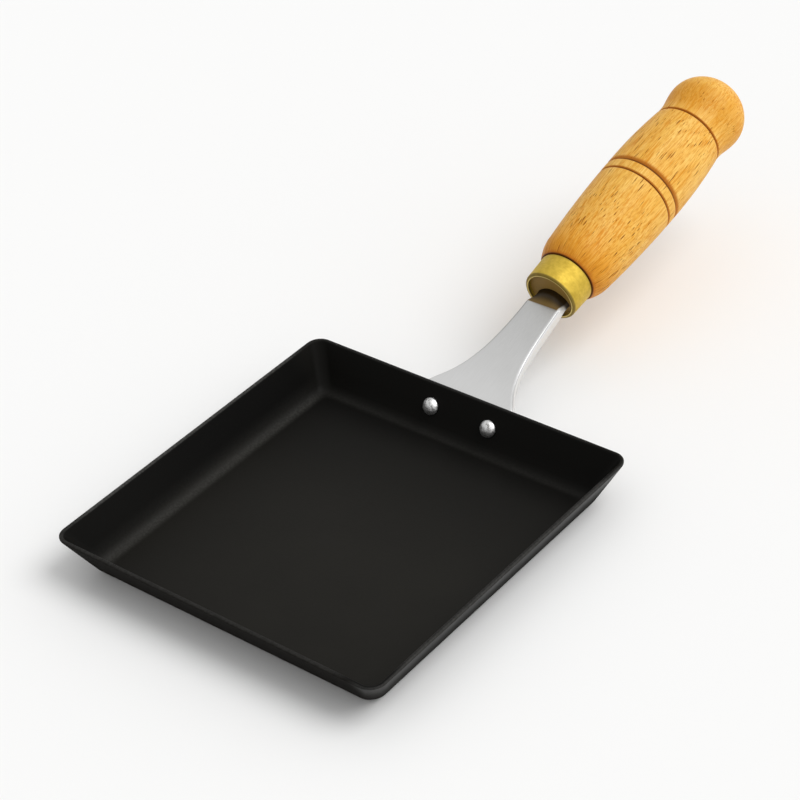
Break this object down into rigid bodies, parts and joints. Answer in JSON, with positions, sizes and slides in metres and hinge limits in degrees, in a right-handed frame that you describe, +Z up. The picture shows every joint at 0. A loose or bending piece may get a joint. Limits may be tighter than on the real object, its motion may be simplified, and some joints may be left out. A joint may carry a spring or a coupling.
{
  "type": "square tawa",
  "caption": "Small square griddle pan with low leaning walls, a flared steel strap riveted to its back wall, a brass ferrule and a turned wooden handle.",
  "frame": {"origin": "centre of the pan's flat underside", "axes": "+Z up out of the pan, +Y from the pan along the handle, +X to the right when the handle points away"},
  "size_m": [0.15, 0.3323, 0.0731],
  "materials": {
    "black_coat": "matte black coat with a fine texture",
    "strap_steel": "satin",
    "rivet_steel": "bright, lightly hammered",
    "brass": "brushed, lightly tarnished",
    "turned_wood": "oiled, scorched along its grooves"
  },
  "bodies": {
    "root": {"pan_body": "black_coat", "handle_bracket": "strap_steel", "rivet_left": "rivet_steel", "rivet_right": "rivet_steel", "ferrule": "brass", "grip": "turned_wood"}
  },
  "joints": []
}
